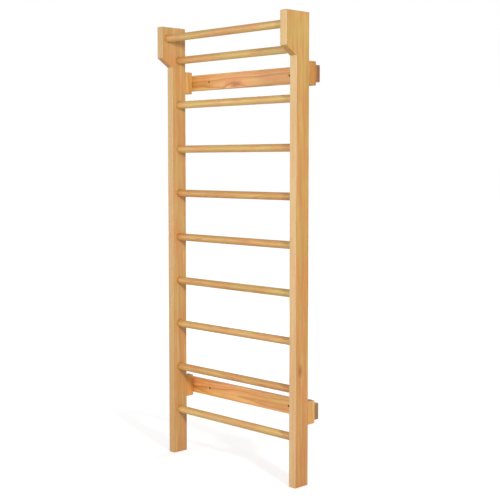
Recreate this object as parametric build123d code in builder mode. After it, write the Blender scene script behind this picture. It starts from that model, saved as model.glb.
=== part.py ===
from build123d import *
import os

# Wooden wall bars (Swedish ladder), in millimetres.
# Frame: origin on the floor, centred in X and in Y. A user stands in front at -Y and faces +Y,
# with +X to the right. The wall is the plane Y = +DEPTH / 2, and +Z is up.

# ---- overall ----
HEIGHT = 1945
WIDTH = 800  # across the outer faces of the posts

# ---- posts ----
POST_THICK = 36  # along X
POST_DEPTH = 78  # along Y

# ---- head blocks, glued on the front of the posts ----
HEAD_DEPTH = 58
HEAD_FRONT_HEIGHT = 139  # height of the block's front face
HEAD_BACK_HEIGHT = 177  # height of its glued face, so the underside slopes

# ---- rungs ----
RUNG_COUNT = 9
RUNG_PITCH = 200
RUNG_DIA = 33
TOP_BAR_DROP = 51  # top of the post to the top bar's axis
TOP_BAR_AHEAD = 27  # the post's front face to the top bar's axis
SOCKET_DEPTH = 24  # blind holes that hold the rung ends
SOCKET_GLUE_GAP = 0.1  # round the rung end, on the radius
SOCKET_END_GAP = 1  # past the rung end
SOCKET_EASE = 1.5  # countersink round the mouth of a socket

# ---- spacers and wall rails ----
SPACER_DEPTH = 40
SPACER_HEIGHT = 98
RAIL_THICK = 24
RAIL_HEIGHT = 70
RAIL_HEIGHTS = {"lower": 302, "upper": 1702}  # axis of each rail above the floor
WALL_HOLE_DIA = 9
WALL_HOLE_INSET = 150  # rail end to the wall-screw hole

# ---- eased edges ----
EDGE_RADIUS = 3
RAIL_END_CHAMFER = 1
FOOT_CHAMFER = 1.5
HOLE_CHAMFER = 0.8
RUNG_CHAMFER = 1
SPACER_END_RADIUS = 2

# ---- countersunk wood screws: shank diameter, head diameter, length ----
LOCK_SCREW = (4, 8, 45)
HEAD_SCREW = (6, 12, 110)
RAIL_SCREW = (6, 12, 100)
SCREW_CLEARANCE = 0.1  # on the radius of the shank
HEAD_CLEARANCE = 0.15  # on the radius of the head
TIP_CLEARANCE = 1  # past the point
COUNTERSINK_ANGLE = 90
SCREW_TIP = 5  # length of the pointed end
RECESS_SIZE = 0.5  # drive recess across its corners, as a share of the head diameter
RECESS_DEPTH = 0.16  # as a share of the head diameter
RAIL_SCREW_SPREAD = 44  # between the two screws of a corner
HEAD_SCREW_DROP = 100  # top of the post to the lower head screw

# ---- dowels in the head joint ----
DOWEL_DIA = 10
DOWEL_LENGTH = 40
DOWEL_GAP = 0.05
DOWEL_CHAMFER = 1
DOWEL_DROPS = (20, 123)  # top of the post to each dowel's axis

# ---- places worked out from the sizes above ----
DEPTH = HEAD_DEPTH + POST_DEPTH + SPACER_DEPTH + RAIL_THICK
HEAD_FRONT_Y = -DEPTH / 2
POST_FRONT_Y = HEAD_FRONT_Y + HEAD_DEPTH
POST_BACK_Y = POST_FRONT_Y + POST_DEPTH
RAIL_FRONT_Y = POST_BACK_Y + SPACER_DEPTH
WALL_Y = RAIL_FRONT_Y + RAIL_THICK
POST_X = (WIDTH - POST_THICK) / 2  # middle of a post's thickness
INNER_X = WIDTH / 2 - POST_THICK
TENON_X = INNER_X + SOCKET_DEPTH / 2  # middle of a rung's tenon
RUNG_Y = (POST_FRONT_Y + POST_BACK_Y) / 2
RUNG_LENGTH = 2 * (INNER_X + SOCKET_DEPTH - SOCKET_END_GAP)
RUNG_HEIGHTS = [RUNG_PITCH * step for step in range(1, RUNG_COUNT + 1)]
TOP_BAR_Y = POST_FRONT_Y - TOP_BAR_AHEAD
TOP_BAR_Z = HEIGHT - TOP_BAR_DROP
HEAD_LOW_Z = HEIGHT - HEAD_BACK_HEIGHT
HEAD_SLOPE_Z = HEIGHT - HEAD_FRONT_HEIGHT
LOW_HEAD_SCREW_Z = HEIGHT - HEAD_SCREW_DROP
DOWEL_HEIGHTS = [HEIGHT - drop for drop in DOWEL_DROPS]
WALL_HOLE_X = WIDTH / 2 - WALL_HOLE_INSET
SIDES = {"left": -1, "right": 1}


def facing_back(x, y, z):
    """A plane at a point with its normal along +Y, for holes drilled from behind."""
    return Plane(origin=(x, y, z), x_dir=(1, 0, 0), z_dir=(0, 1, 0))


def facing_in(side, y, z):
    """A plane on a post's inner face with its normal towards the other post."""
    return Plane(origin=(side * INNER_X, y, z), x_dir=(0, 1, 0), z_dir=(-side, 0, 0))


def save(builder, name):
    """Label one finished piece and write its STEP file."""
    builder.part.label = name
    export_step(builder.part, f"parts/{name}.step")


def screw_hole(screw):
    """Countersunk clearance hole for a screw whose head is flush with this piece's surface."""
    shank, head, length = screw
    CounterSinkHole(
        radius=shank / 2 + SCREW_CLEARANCE,
        counter_sink_radius=head / 2 + HEAD_CLEARANCE,
        depth=length + TIP_CLEARANCE,
        counter_sink_angle=COUNTERSINK_ANGLE,
    )


def socket():
    """Blind hole for a rung end, with its mouth eased."""
    radius = RUNG_DIA / 2 + SOCKET_GLUE_GAP
    CounterSinkHole(
        radius=radius,
        counter_sink_radius=radius + SOCKET_EASE,
        depth=SOCKET_DEPTH,
        counter_sink_angle=COUNTERSINK_ANGLE,
    )


def shank_hole(screw, start):
    """Clearance hole for the part of a screw's shank that lies deeper than start."""
    shank, _, length = screw
    Hole(radius=shank / 2 + SCREW_CLEARANCE, depth=length + TIP_CLEARANCE - start)


def corner_screw_places(side, level, y):
    """Planes at depth y for the two screws of one rail corner."""
    middle = RAIL_HEIGHTS[level]
    heights = (middle - RAIL_SCREW_SPREAD / 2, middle + RAIL_SCREW_SPREAD / 2)
    return [facing_back(side * POST_X, y, z) for z in heights]


def rail_screw_places(level):
    """Planes on a rail's wall face for its four screws."""
    return corner_screw_places(-1, level, WALL_Y) + corner_screw_places(1, level, WALL_Y)


def make_post(side):
    """Upright board: rung sockets inside, screw and dowel holes, front corners square at the head."""
    with BuildPart() as post:
        with BuildSketch(Plane.XY) as shaft:
            with Locations((side * POST_X, RUNG_Y)):
                Rectangle(POST_THICK, POST_DEPTH)
            fillet(shaft.vertices(), EDGE_RADIUS)
        extrude(amount=HEAD_LOW_Z)
        with BuildSketch(Plane.XY.offset(HEAD_LOW_Z)) as neck:
            with Locations((side * POST_X, RUNG_Y)):
                Rectangle(POST_THICK, POST_DEPTH)
            fillet(neck.vertices().group_by(Axis.Y)[-1], EDGE_RADIUS)
        extrude(amount=HEIGHT - HEAD_LOW_Z)
        fillet(post.edges().group_by(Axis.Z)[-1].sort_by(Axis.Y)[1:], EDGE_RADIUS)
        chamfer(post.edges().group_by(Axis.Z)[0], FOOT_CHAMFER)
        with Locations([facing_in(side, RUNG_Y, z) for z in RUNG_HEIGHTS]):
            socket()
        with Locations([facing_back(side * TENON_X, POST_BACK_Y, z) for z in RUNG_HEIGHTS]):
            screw_hole(LOCK_SCREW)
        with Locations(
            facing_back(side * TENON_X, POST_BACK_Y, TOP_BAR_Z),
            facing_back(side * TENON_X, POST_BACK_Y, LOW_HEAD_SCREW_Z),
        ):
            screw_hole(HEAD_SCREW)
        for level in RAIL_HEIGHTS:
            with Locations(corner_screw_places(side, level, POST_BACK_Y)):
                shank_hole(RAIL_SCREW, RAIL_THICK + SPACER_DEPTH)
        with Locations(
            [facing_back(side * POST_X, POST_FRONT_Y + DOWEL_LENGTH / 2, z) for z in DOWEL_HEIGHTS]
        ):
            Hole(radius=DOWEL_DIA / 2 + DOWEL_GAP, depth=DOWEL_LENGTH)
    return post


def make_head_block(side):
    """Block that carries the top bar in front of the rungs, with a sloped underside."""
    outline = [
        (POST_FRONT_Y, HEAD_LOW_Z),
        (POST_FRONT_Y, HEIGHT),
        (HEAD_FRONT_Y, HEIGHT),
        (HEAD_FRONT_Y, HEAD_SLOPE_Z),
    ]
    with BuildPart() as head:
        with BuildSketch(Plane.YZ.offset(side * POST_X)):
            with BuildLine():
                Polyline(*outline, close=True)
            make_face()
        extrude(amount=POST_THICK / 2, both=True)
        joint_edges = head.edges().group_by(Axis.Y)[-1]
        fillet([edge for edge in head.edges() if edge not in joint_edges], EDGE_RADIUS)
        with Locations(facing_in(side, TOP_BAR_Y, TOP_BAR_Z)):
            socket()
        with Locations(
            facing_back(side * TENON_X, POST_FRONT_Y, TOP_BAR_Z),
            facing_back(side * TENON_X, POST_FRONT_Y, LOW_HEAD_SCREW_Z),
        ):
            shank_hole(HEAD_SCREW, POST_DEPTH)
        with Locations([facing_back(side * POST_X, POST_FRONT_Y, z) for z in DOWEL_HEIGHTS]):
            Hole(radius=DOWEL_DIA / 2 + DOWEL_GAP, depth=DOWEL_LENGTH / 2)
    return head


def make_bar(y, z, screw, screw_start):
    """Round bar along X with a cross hole in each tenon for the screw that locks it."""
    with BuildPart() as bar:
        with BuildSketch(Plane.YZ.offset(-RUNG_LENGTH / 2)):
            with Locations((y, z)):
                Circle(RUNG_DIA / 2)
        extrude(amount=RUNG_LENGTH)
        chamfer(bar.edges().filter_by(GeomType.CIRCLE), RUNG_CHAMFER)
        with Locations([facing_back(side * TENON_X, y + RUNG_DIA / 2, z) for side in SIDES.values()]):
            shank_hole(screw, screw_start)
    return bar


def make_spacer(side, level):
    """Block between a post's back edge and a rail."""
    with BuildPart() as spacer:
        with BuildSketch(Plane.XZ.offset(-POST_BACK_Y)):
            with Locations((side * POST_X, RAIL_HEIGHTS[level])):
                RectangleRounded(POST_THICK, SPACER_HEIGHT, EDGE_RADIUS)
        extrude(amount=-SPACER_DEPTH)
        fillet(spacer.edges().group_by(Axis.Y)[0], SPACER_END_RADIUS)
        fillet(spacer.edges().group_by(Axis.Y)[-1], SPACER_END_RADIUS)
        with Locations(corner_screw_places(side, level, RAIL_FRONT_Y)):
            shank_hole(RAIL_SCREW, RAIL_THICK)
    return spacer


def make_rail(level):
    """Wall rail with its two wall-screw holes and the countersunk holes for its own screws."""
    middle = RAIL_HEIGHTS[level]
    with BuildPart() as rail:
        with BuildSketch(Plane.YZ.offset(-WIDTH / 2)):
            with Locations((RAIL_FRONT_Y + RAIL_THICK / 2, middle)):
                RectangleRounded(RAIL_THICK, RAIL_HEIGHT, EDGE_RADIUS)
        extrude(amount=WIDTH)
        chamfer(rail.faces().sort_by(Axis.X)[0].edges(), RAIL_END_CHAMFER)
        chamfer(rail.faces().sort_by(Axis.X)[-1].edges(), RAIL_END_CHAMFER)
        with Locations([facing_back(side * WALL_HOLE_X, WALL_Y, middle) for side in SIDES.values()]):
            Hole(radius=WALL_HOLE_DIA / 2)
        mouths = rail.edges().filter_by(GeomType.CIRCLE).group_by(Axis.Y)[0]
        chamfer(mouths, HOLE_CHAMFER)
        with Locations(rail_screw_places(level)):
            screw_hole(RAIL_SCREW)
    return rail


def make_screw(screw):
    """Countersunk screw on the Z axis: head face at the origin, point at -length, hexagon recess."""
    shank, head, length = screw
    neck = (head - shank) / 2
    with BuildPart() as body:
        with BuildSketch(Plane.XZ):
            with BuildLine():
                Polyline(
                    (0, 0),
                    (head / 2, 0),
                    (shank / 2, -neck),
                    (shank / 2, -length + SCREW_TIP),
                    (0, -length),
                    close=True,
                )
            make_face()
        revolve(axis=Axis.Z)
        with BuildSketch(Plane.XY):
            RegularPolygon(RECESS_SIZE * head / 2, 6)
        extrude(amount=-RECESS_DEPTH * head, mode=Mode.SUBTRACT)
    return body


def make_dowel():
    """Chamfered dowel on the Z axis, centred on the origin."""
    with BuildPart() as body:
        Cylinder(DOWEL_DIA / 2, DOWEL_LENGTH)
        chamfer(body.edges().filter_by(GeomType.CIRCLE), DOWEL_CHAMFER)
    return body


def make_group(piece, places):
    """The same fastener at several places, as one node of separate solids."""
    with BuildPart() as group:
        with Locations(places):
            add(piece.part)
    return group


os.makedirs("parts", exist_ok=True)

for side_name, side in SIDES.items():
    save(make_post(side), f"{side_name}_post")
    save(make_head_block(side), f"{side_name}_head_block")

for number, height in enumerate(RUNG_HEIGHTS, start=1):
    rung = make_bar(RUNG_Y, height, LOCK_SCREW, POST_BACK_Y - RUNG_Y - RUNG_DIA / 2)
    save(rung, f"rung_{number}")

top_bar = make_bar(TOP_BAR_Y, TOP_BAR_Z, HEAD_SCREW, POST_BACK_Y - TOP_BAR_Y - RUNG_DIA / 2)
save(top_bar, "top_bar")

for level in RAIL_HEIGHTS:
    save(make_rail(level), f"{level}_wall_rail")
    for side_name, side in SIDES.items():
        save(make_spacer(side, level), f"{level}_{side_name}_spacer")
    save(make_group(make_screw(RAIL_SCREW), rail_screw_places(level)), f"{level}_rail_screws")

lock_screw_places = [
    facing_back(side * TENON_X, POST_BACK_Y, z) for side in SIDES.values() for z in RUNG_HEIGHTS
]
save(make_group(make_screw(LOCK_SCREW), lock_screw_places), "rung_lock_screws")

head_screw_places = [
    facing_back(side * TENON_X, POST_BACK_Y, z)
    for side in SIDES.values()
    for z in (TOP_BAR_Z, LOW_HEAD_SCREW_Z)
]
save(make_group(make_screw(HEAD_SCREW), head_screw_places), "head_screws")

dowel_places = [
    facing_back(side * POST_X, POST_FRONT_Y, z) for side in SIDES.values() for z in DOWEL_HEIGHTS
]
save(make_group(make_dowel(), dowel_places), "head_dowels")
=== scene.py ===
import math
import random
import bpy
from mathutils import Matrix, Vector


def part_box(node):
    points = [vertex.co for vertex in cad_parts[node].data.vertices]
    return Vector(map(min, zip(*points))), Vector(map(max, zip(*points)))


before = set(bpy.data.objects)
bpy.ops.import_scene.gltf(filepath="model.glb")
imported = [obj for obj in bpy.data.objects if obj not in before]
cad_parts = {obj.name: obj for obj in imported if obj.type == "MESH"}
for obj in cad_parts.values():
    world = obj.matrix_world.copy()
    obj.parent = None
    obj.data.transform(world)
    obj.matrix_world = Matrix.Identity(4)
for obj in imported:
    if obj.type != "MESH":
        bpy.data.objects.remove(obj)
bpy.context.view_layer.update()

# ---- camera ----
CAMERA_AT = (3.324, -3.170, 1.336)  # metres
CAMERA_AZIMUTH = 45.55  # degrees, 0 looks along +Y
CAMERA_ELEVATION = 4.03  # degrees that it looks down
CAMERA_LENS = 76.3  # mm on a 36 mm sensor
CAMERA_SHIFT = -0.024  # share of the picture's side

# ---- light: each softbox has a name, a place, a side in metres and a power in watts ----
SKY_STRENGTH = 0.5  # as a light
BACKDROP_STRENGTH = 1.0  # as the camera sees it past the object
LIGHT_TARGET = (0, 0, 1.0)
SOFTBOXES = (
    ("key", (-0.6, -4.8, 1.5), 2.6, 100),
    ("sheen", (-4.2, -3.6, 1.3), 3.2, 55),
    ("fill", (4.3, -1.5, 2.15), 0.45, 122),
    ("back", (-1.4, 4.6, 1.7), 2.4, 110),
)

# ---- floor ----
FLOOR_HALF_SIZE = 30
FLOOR_COLOUR = (0.6, 0.6, 0.6, 1)
FLOOR_GLOW = (0.48, 0.75)  # as the camera sees it, near the object and far from it
FLOOR_GLOW_REACH = (1.0, 5.0)  # metres from the origin

# ---- marks in the wood ----
# width across the grain and length along it, in metres, and a shift that keeps the marks apart
FIBRE = (0.0007, 0.06, 0.0)
STREAK = (0.011, 0.35, 3.0)
PATCH = (0.028, 0.15, 5.0)
CANAL = (0.0009, 0.012, 7.0)
# the noise levels at which a mark begins to show and shows in full
FIBRE_LEVELS = (0.3, 0.7)
STREAK_LEVELS = (0.38, 0.62)
PATCH_LEVELS = (0.44, 0.60)
CANAL_LEVELS = (0.70, 0.80)
CANAL_SHARE = 0.35
CANAL_SHADE = (0.5, 0.42, 0.35)  # of the late wood's tone
FIBRE_SHADES = (0.90, 1.07)

# ---- growth rings ----
RING_PROFILE = ((0.0, 0.0), (0.45, 0.10), (0.78, 0.62), (0.93, 1.0), (1.0, 0.0))
RING_DRIFT = 2.2  # how many rings wide and narrow years shift the rings by
RING_DRIFT_RATE = 0.35  # how fast that changes from ring to ring
YEAR_STRENGTH = (0.4, 1.0)  # of the late wood, in the weakest year and in the strongest
PITH_REACH = (0.05, 0.08)  # metres from a piece's middle to its pith line
PITH_SWING = 0.6  # how far it may lie to the side, as a share of that reach
RUNG_PITH_SHARE = 0.6  # rungs are cut nearer to the pith
RAIL_SWING_SHARE = 0.3  # and rails more squarely to it
WOOD_SEED = 11
NOISE_SEEDS = (0, 40)

# ---- knots ----
KNOT_REACH = 3.2  # how far round a knot the rings bend, in sizes of the knot
KNOT_RINGS = 1.1  # how many rings the knot bends aside
KNOT_RAGGED = (1.2, 1.2, 0.0)  # how uneven its outline is, in sizes of the knot
KNOT_HEART = (0.3, 2.0, 0.85, 0.0)  # dark up to the first distance, gone at the second
KNOT_SHADE = (0.8, 0.7, 0.7)  # of the late wood's tone
# each knot's place along the grain and on the deep axis, and its length and width, in metres
KNOTS = {
    "upper_wall_rail": (-0.078, 1.683, 0.026, 0.009),
    "right_post": (0.485, -0.013, 0.018, 0.008),
}

# ---- painted sheen: a pale layer on the fronts of posts and head blocks that stands in for light glancing off them ----
FRONT_SHEEN_TONES = {"left": (0.47, 0.30, 0.12, 1), "right": (0.62, 0.43, 0.21, 1)}
FRONT_SHEEN_DEPTH = 0.007
FRONT_SHEEN_SHARE = (0.8, 0.45)  # between streaks and on them
FRONT_SHEEN_FADE = 0.02  # metres in which it fades out behind a head block
HEAD_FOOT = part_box("left_head_block")[0][2]  # above it the posts get no painted sheen

# ---- end grain and lacquer ----
END_FACING = (0.75, 0.99)  # how squarely a face looks along the grain
END_TINT = (0.44, 0.43, 0.54, 1)
END_ROUGHNESS = 0.2  # more than on other faces
GLOSS_LEVELS = (0.25, 0.75)
GLOSS = (0.38, 0.48)
COAT_WEIGHT = 0.2
COAT_ROUGHNESS = 0.22
GRAIN_DEPTH = 0.00025
GRAIN_STRENGTH = 0.35
LATE_RELIEF = 0.5
FIBRE_RELIEF = 0.6

# ---- steel ----
STEEL_GRIT = 2500  # features to a metre
STEEL_PATCHES = 180
GRIT_LEVELS = (0.3, 0.7)
STEEL_PATCH_LEVELS = (0.35, 0.65)
STEEL_TONES = ((0.62, 0.56, 0.38, 1), (0.70, 0.66, 0.52, 1))
STEEL_ROUGHNESS = (0.28, 0.42)

# ---- kinds of wood ----
# grain is the axis that the fibres follow, and ring the width of a growth ring. lean is how far the
# rings drift across per metre along, at most. wave is the width, length and shift of the waves in
# the rings. The shares say how much late wood and streaks show. The tones are those of early wood,
# late wood, streaks and blush.
POST = {
    "grain": "Z",
    "ring": 0.0045,
    "lean": 0.02,
    "wave": (0.11, 0.7, 0.012),
    "late_share": 0.45,
    "streak_share": 0.65,
    "tones": ((0.69, 0.41, 0.14), (0.46, 0.20, 0.04), (0.54, 0.25, 0.06), (0.71, 0.32, 0.12)),
}
RUNG = {
    "grain": "X",
    "ring": 0.0042,
    "lean": 0.06,
    "wave": (0.09, 0.3, 0.014),
    "late_share": 1.0,
    "streak_share": 0.6,
    "tones": ((0.65, 0.43, 0.14), (0.42, 0.20, 0.04), (0.51, 0.29, 0.07), (0.66, 0.31, 0.12)),
}
RAIL = {
    "grain": "X",
    "ring": 0.0046,
    "lean": 0.02,
    "wave": (0.1, 0.4, 0.016),
    "late_share": 1.0,
    "streak_share": 0.45,
    "tones": ((0.73, 0.44, 0.14), (0.45, 0.16, 0.03), (0.63, 0.28, 0.05), (0.76, 0.36, 0.12)),
}
BLOCK = dict(RAIL, grain="Z", ring=0.0095)
DOWEL = {
    "grain": "Z",
    "ring": 0.004,
    "lean": 0.02,
    "wave": (0.11, 0.7, 0.012),
    "late_share": 0.6,
    "streak_share": 0.5,
    "tones": ((0.62, 0.45, 0.28), (0.52, 0.34, 0.19), (0.58, 0.40, 0.24), (0.60, 0.42, 0.26)),
}

# ---- boards differ, and some are paled to paint in light: these multiply the colours of a kind ----
EVEN = (1, 1, 1)
PALE = (1.05, 1.15, 1.2)
GOLDEN = (1.15, 1.05, 1.0)
STRAW = (0.92, 1.03, 0.9)
BROWN = (0.95, 0.85, 0.78)
RUST = (0.75, 0.6, 0.4)
# the tone at the low end and at the high end of each board that isn't even
BOARD_TONES_AND_PAINTED_LIGHT = {
    "left_post": (EVEN, PALE),
    "right_post": (BROWN, STRAW),
    "right_head_block": (STRAW, STRAW),
    "rung_1": (PALE, EVEN),
    "rung_2": (BROWN, BROWN),
    "rung_4": (BROWN, STRAW),
    "rung_5": (BROWN, EVEN),
    "rung_6": (BROWN, BROWN),
    "rung_8": (PALE, PALE),
    "rung_9": (EVEN, PALE),
    # partly painted light: the lower rail is made paler than the upper one to make up for the light
    # that reaches it less
    "lower_wall_rail": (GOLDEN, PALE),
    "upper_wall_rail": (EVEN, BROWN),
    # partly painted light: the left spacers are made paler to lift the shade they lie in between post
    # and rail
    "lower_left_spacer": (GOLDEN, GOLDEN),
    "upper_left_spacer": (PALE, PALE),
    "upper_right_spacer": (RUST, RUST),
}


class Graph:
    """Short names for the shader nodes of one material."""

    def __init__(self, material):
        material.use_nodes = True
        self.tree = material.node_tree
        self.shader = self.tree.nodes["Principled BSDF"]

    def node(self, kind, inputs=(), **settings):
        """A node with its settings, and its inputs linked or set in order."""
        made = self.tree.nodes.new(kind)
        for key, value in settings.items():
            setattr(made, key, value)
        for slot, value in enumerate(inputs):
            self.put(made.inputs[slot], value)
        return made

    def put(self, socket, value):
        """Links a socket to another one or sets its value, and leaves it alone for None."""
        if isinstance(value, bpy.types.NodeSocket):
            self.tree.links.new(value, socket)
        elif value is not None:
            socket.default_value = value

    def math(self, operation, *inputs):
        return self.node("ShaderNodeMath", inputs, operation=operation).outputs[0]

    def vector(self, operation, *inputs):
        made = self.node("ShaderNodeVectorMath", inputs, operation=operation)
        return made.outputs["Value" if operation == "LENGTH" else "Vector"]

    def split(self, vector):
        return self.node("ShaderNodeSeparateXYZ", (vector,)).outputs

    def join(self, x, y, z):
        return self.node("ShaderNodeCombineXYZ", (x, y, z)).outputs[0]

    def noise(self, vector, detail=2.0, roughness=0.5):
        """Noise with features about one unit of the vector in size: its value and its colour."""
        made = self.node("ShaderNodeTexNoise", (vector,))
        made.inputs["Scale"].default_value = 1.0
        made.inputs["Detail"].default_value = detail
        made.inputs["Roughness"].default_value = roughness
        return made.outputs["Fac"], made.outputs["Color"]

    def span(self, value, low, high, new_low=0.0, new_high=1.0):
        """A value moved from one range to another, held at the ends."""
        return self.node("ShaderNodeMapRange", (value, low, high, new_low, new_high)).outputs[0]

    def ramp(self, value, stops):
        """A grey curve through the stops."""
        made = self.node("ShaderNodeValToRGB", (value,))
        points = made.color_ramp.elements
        while len(points) < len(stops):
            points.new(0.5)
        for point, (place, level) in zip(points, stops):
            point.position = place
            point.color = (level, level, level, 1)
        return made.outputs[0]

    def mix(self, share, first, second, blend="MIX"):
        """Two colours mixed: a mix node has its share in socket 0 and its colours in 6 and 7."""
        made = self.node("ShaderNodeMix", data_type="RGBA", blend_type=blend)
        self.put(made.inputs[0], share)
        self.put(made.inputs[6], first)
        self.put(made.inputs[7], second)
        return made.outputs[2]


class Grain:
    """Where a point of a piece lies: along its fibres, and on two axes square to them.

    Along is X, across Y and deep Z where the fibres follow X, and otherwise Z, X and Y."""

    def __init__(self, graph, axis, seed):
        self.graph = graph
        self.seed = seed
        coordinates = graph.node("ShaderNodeTexCoord").outputs
        x, y, z = graph.split(coordinates["Object"])
        normal_x, normal_y, normal_z = graph.split(coordinates["Normal"])
        if axis == "X":
            self.across, self.deep, self.along, end_facing = y, z, x, normal_x
        else:
            self.across, self.deep, self.along, end_facing = x, y, z, normal_z
        self.end = graph.span(graph.math("ABSOLUTE", end_facing), *END_FACING)

    def noise(self, width, length, shift, **settings):
        """Noise with features of one width across the grain and one length along it."""
        graph = self.graph
        place = graph.join(
            graph.math("ADD", graph.math("DIVIDE", self.across, width), self.seed + shift),
            graph.math("DIVIDE", self.deep, width),
            graph.math("DIVIDE", self.along, length),
        )
        return graph.noise(place, **settings)


def shaded(tone, shares):
    """A tone with each channel cut to a share of itself."""
    return (*(level * share for level, share in zip(tone, shares)), 1)


def knot_distance(graph, grain, knot):
    """How far a point is from a knot's heart, in sizes of the knot."""
    middle_along, middle_deep, length, width = knot
    offset = graph.join(
        graph.math("DIVIDE", graph.math("SUBTRACT", grain.along, middle_along), length),
        graph.math("DIVIDE", graph.math("SUBTRACT", grain.deep, middle_deep), width),
        0.0,
    )
    ragged = graph.vector("SUBTRACT", graph.noise(offset)[1], (0.5, 0.5, 0.5))
    ragged = graph.vector("MULTIPLY", ragged, KNOT_RAGGED)
    return graph.vector("LENGTH", graph.vector("ADD", offset, ragged))


def growth_rings(graph, grain, kind, pith, lean, swirl):
    """How much late wood a point has, in rings round the pith line that a knot bends aside.

    pith is where the pith line passes on the across and deep axes, and lean is how far it drifts on
    each of them per metre along."""
    wave_width, wave_length, wave_shift = kind["wave"]
    waves = graph.split(grain.noise(wave_width, wave_length, 0.0)[1])
    offsets = []
    for place, heart, drift, wave in zip((grain.across, grain.deep), pith, lean, waves):
        offset = graph.math("SUBTRACT", place, heart)
        offset = graph.math("ADD", offset, graph.math("MULTIPLY", grain.along, drift))
        offsets.append(graph.math("ADD", offset, graph.math("MULTIPLY", wave, wave_shift)))
    radius = graph.vector("LENGTH", graph.join(*offsets, 0.0))
    rings = graph.math("DIVIDE", radius, kind["ring"])
    years = graph.join(graph.math("MULTIPLY", rings, RING_DRIFT_RATE), grain.seed, 0.0)
    uneven = graph.noise(years, detail=1.0)[0]
    rings = graph.math("ADD", rings, graph.math("MULTIPLY", uneven, RING_DRIFT))
    if swirl is not None:
        rings = graph.math("ADD", rings, graph.span(swirl, 0.0, KNOT_REACH, KNOT_RINGS, 0.0))
    latewood = graph.ramp(graph.math("FRACT", rings), RING_PROFILE)
    year = graph.math("FLOOR", rings)
    strength = graph.node("ShaderNodeTexWhiteNoise", (None, year), noise_dimensions="1D").outputs[0]
    return graph.math("MULTIPLY", latewood, graph.span(strength, 0.0, 1.0, *YEAR_STRENGTH))


def front_sheen_share(graph, grain, name, streaks):
    """How much painted sheen shows at a point, as a pale layer on the front of a post or head block
    that stands in for light glancing off it.
    """
    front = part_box(name)[0][1]
    share = graph.span(grain.deep, front, front + FRONT_SHEEN_DEPTH, 1.0, 0.0)
    share = graph.math("MULTIPLY", share, graph.span(streaks, 0.0, 1.0, *FRONT_SHEEN_SHARE))
    if name.endswith("post"):
        below_head = graph.span(grain.along, HEAD_FOOT, HEAD_FOOT + FRONT_SHEEN_FADE, 1.0, 0.0)
        share = graph.math("MULTIPLY", share, below_head)
    return share


def lacquer(graph, grain, latewood, fibre, canals):
    """A satin coat that follows the grain's relief and is duller on end grain."""
    roughness = graph.span(fibre, *GLOSS_LEVELS, *GLOSS)
    roughness = graph.math("ADD", roughness, graph.math("MULTIPLY", grain.end, END_ROUGHNESS))
    graph.put(graph.shader.inputs["Roughness"], roughness)
    graph.shader.inputs["Coat Weight"].default_value = COAT_WEIGHT
    graph.shader.inputs["Coat Roughness"].default_value = COAT_ROUGHNESS
    late_relief = graph.math("MULTIPLY", latewood, LATE_RELIEF)
    relief = graph.math("ADD", late_relief, graph.math("MULTIPLY", fibre, FIBRE_RELIEF))
    bump = graph.node("ShaderNodeBump")
    bump.inputs["Strength"].default_value = GRAIN_STRENGTH
    bump.inputs["Distance"].default_value = GRAIN_DEPTH
    graph.put(bump.inputs["Height"], graph.math("SUBTRACT", relief, canals))
    graph.put(graph.shader.inputs["Normal"], bump.outputs[0])


def wood(name, kind, pith, lean, seed):
    """Solid lacquered wood: growth rings, fibres, resin canals, broad streaks and blush patches."""
    material = bpy.data.materials.new(name)
    graph = Graph(material)
    grain = Grain(graph, kind["grain"], seed)
    early, late, streak, blush = [(*tone, 1) for tone in kind["tones"]]

    swirl = knot_distance(graph, grain, KNOTS[name]) if name in KNOTS else None
    latewood = growth_rings(graph, grain, kind, pith, lean, swirl)
    fibre = grain.noise(*FIBRE, detail=3.0, roughness=0.6)[0]
    canals = graph.span(grain.noise(*CANAL, detail=0.0)[0], *CANAL_LEVELS)
    streaks = graph.span(grain.noise(*STREAK, roughness=0.6)[0], *STREAK_LEVELS)
    patches = graph.span(grain.noise(*PATCH)[0], *PATCH_LEVELS)

    colour = graph.mix(patches, early, blush)
    colour = graph.mix(graph.math("MULTIPLY", latewood, kind["late_share"]), colour, late)
    colour = graph.mix(graph.math("MULTIPLY", streaks, kind["streak_share"]), colour, streak)
    if swirl is not None:
        colour = graph.mix(graph.span(swirl, *KNOT_HEART), colour, shaded(late, KNOT_SHADE))

    axis = "XYZ".index(kind["grain"])
    low_end, high_end = [corner[axis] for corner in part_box(name)]
    # the boards' own tones, with painted light on the lower rail and the left spacers
    low_tone, high_tone = [(*tone, 1) for tone in BOARD_TONES_AND_PAINTED_LIGHT.get(name, (EVEN, EVEN))]
    board_and_light_tone = graph.mix(graph.span(grain.along, low_end, high_end), low_tone, high_tone)
    colour = graph.mix(1.0, colour, board_and_light_tone, "MULTIPLY")
    if kind is POST:
        side = name.split("_")[0]
        # painted sheen: the fronts of posts and head blocks are paled where light glances off them
        colour = graph.mix(front_sheen_share(graph, grain, name, streaks), colour, FRONT_SHEEN_TONES[side])

    fibre_shade = graph.span(fibre, *FIBRE_LEVELS, *FIBRE_SHADES)
    fibre_shade = graph.join(fibre_shade, fibre_shade, fibre_shade)
    colour = graph.mix(1.0, colour, fibre_shade, "MULTIPLY")
    canal_share = graph.math("MULTIPLY", canals, CANAL_SHARE)
    colour = graph.mix(canal_share, colour, shaded(late, CANAL_SHADE))
    colour = graph.mix(grain.end, colour, graph.mix(1.0, colour, END_TINT, "MULTIPLY"))
    graph.put(graph.shader.inputs["Base Color"], colour)
    lacquer(graph, grain, latewood, fibre, canals)
    return material


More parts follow.
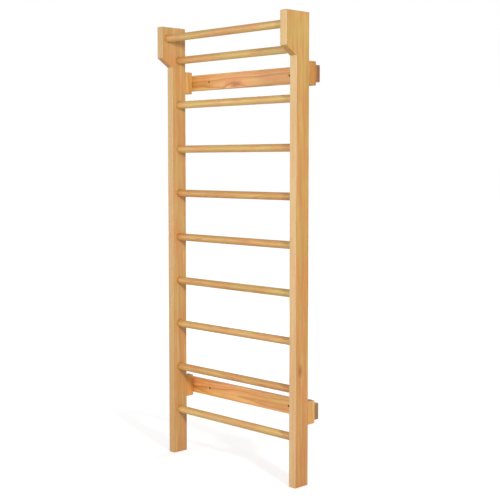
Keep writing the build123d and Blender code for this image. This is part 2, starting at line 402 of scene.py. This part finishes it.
def steel(name):
    """Yellow-passivated zinc on steel: a tone that varies in patches and a fine grit in the gloss."""
    material = bpy.data.materials.new(name)
    graph = Graph(material)
    place = graph.node("ShaderNodeTexCoord").outputs["Object"]
    grit = graph.noise(graph.vector("MULTIPLY", place, (STEEL_GRIT,) * 3), detail=3.0)[0]
    patches = graph.noise(graph.vector("MULTIPLY", place, (STEEL_PATCHES,) * 3))[0]
    colour = graph.mix(graph.span(patches, *STEEL_PATCH_LEVELS), *STEEL_TONES)
    graph.put(graph.shader.inputs["Base Color"], colour)
    graph.shader.inputs["Metallic"].default_value = 1.0
    graph.put(graph.shader.inputs["Roughness"], graph.span(grit, *GRIT_LEVELS, *STEEL_ROUGHNESS))
    return material


def wood_of(name):
    """The kind of wood of a node."""
    if name == "head_dowels":
        return DOWEL
    if "spacer" in name:
        return BLOCK
    if "rail" in name:
        return RAIL
    return RUNG if name.startswith("rung") or name == "top_bar" else POST


def pith_of(board, kind, reach, turn):
    """Where the pith line of a board's wood passes, on the across and deep axes."""
    middle = [(low + high) / 2 for low, high in zip(*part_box(board))]
    swing = PITH_SWING * math.sin(turn)
    if kind is RUNG:
        near = RUNG_PITH_SHARE * reach
        return middle[1] + near * math.cos(turn), middle[2] + near * math.sin(turn)
    if kind is RAIL:
        return middle[1] + reach, middle[2] + RAIL_SWING_SHARE * reach * swing
    side = 1 if math.cos(turn) > 0 else -1
    return middle[0] + side * reach, middle[1] + reach * swing


def finish_nodes():
    """Gives every CAD node its own wood or steel."""
    draw = random.Random(WOOD_SEED)
    draws = {}
    for name in sorted(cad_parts):
        reach = draw.uniform(*PITH_REACH)
        turn = draw.uniform(0, 2 * math.pi)
        seed = draw.uniform(*NOISE_SEEDS)
        leans = (draw.uniform(-1, 1), draw.uniform(-1, 1))
        draws[name] = reach, turn, seed, leans
    for name in sorted(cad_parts):
        if "screws" in name:
            material = steel(name)
        else:
            board = name.replace("head_block", "post")  # a head block shows the wood of its post
            reach, turn, seed, leans = draws[board]
            kind = wood_of(name)
            lean = [share * kind["lean"] for share in leans]
            material = wood(name, kind, pith_of(board, kind, reach, turn), lean, seed)
        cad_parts[name].material_slots[0].material = material


def add_camera():
    """The camera that looks at the bars from the front right, a little above their middle."""
    data = bpy.data.cameras.new("camera")
    data.lens = CAMERA_LENS
    data.shift_y = CAMERA_SHIFT
    camera = bpy.data.objects.new("camera", data)
    azimuth, elevation = math.radians(CAMERA_AZIMUTH), math.radians(CAMERA_ELEVATION)
    camera.location = CAMERA_AT
    camera.rotation_euler = (math.pi / 2 - elevation, 0, azimuth)
    bpy.context.collection.objects.link(camera)
    bpy.context.scene.camera = camera


def add_softbox(name, place, size, power):
    """A square soft light that points at the middle of the bars."""
    data = bpy.data.lights.new(name, "AREA")
    data.size = size
    data.energy = power
    light = bpy.data.objects.new(name, data)
    light.location = place
    towards = Vector(LIGHT_TARGET) - Vector(place)
    light.rotation_euler = towards.to_track_quat("-Z", "Y").to_euler()
    bpy.context.collection.objects.link(light)


def add_sky():
    """A white studio all round: dim as a light, and white where the camera looks past the object."""
    world = bpy.data.worlds.new("studio")
    world.use_nodes = True
    tree = world.node_tree
    background = tree.nodes["Background"]
    background.inputs["Color"].default_value = (1, 1, 1, 1)
    path = tree.nodes.new("ShaderNodeLightPath")
    strength = tree.nodes.new("ShaderNodeMapRange")
    strength.inputs["To Min"].default_value = SKY_STRENGTH
    strength.inputs["To Max"].default_value = BACKDROP_STRENGTH
    tree.links.new(path.outputs["Is Camera Ray"], strength.inputs["Value"])
    tree.links.new(strength.outputs[0], background.inputs["Strength"])
    bpy.context.scene.world = world


def add_floor():
    """A plain pale floor under the whole view, with a glow that only the camera sees."""
    half = FLOOR_HALF_SIZE
    corners = [(-half, -half, 0), (half, -half, 0), (half, half, 0), (-half, half, 0)]
    mesh = bpy.data.meshes.new("floor")
    mesh.from_pydata(corners, [], [(0, 1, 2, 3)])
    floor = bpy.data.objects.new("floor", mesh)
    material = bpy.data.materials.new("floor")
    graph = Graph(material)
    graph.shader.inputs["Base Color"].default_value = FLOOR_COLOUR
    graph.shader.inputs["Roughness"].default_value = 1.0
    graph.shader.inputs["Emission Color"].default_value = (1, 1, 1, 1)
    distance = graph.vector("LENGTH", graph.node("ShaderNodeTexCoord").outputs["Object"])
    glow = graph.span(distance, *FLOOR_GLOW_REACH, *FLOOR_GLOW)
    seen = graph.node("ShaderNodeLightPath").outputs["Is Camera Ray"]
    graph.put(graph.shader.inputs["Emission Strength"], graph.math("MULTIPLY", glow, seen))
    mesh.materials.append(material)
    bpy.context.collection.objects.link(floor)


add_camera()
add_sky()
for softbox in SOFTBOXES:
    add_softbox(*softbox)
add_floor()
finish_nodes()
bpy.context.scene.view_settings.view_transform = "Standard"
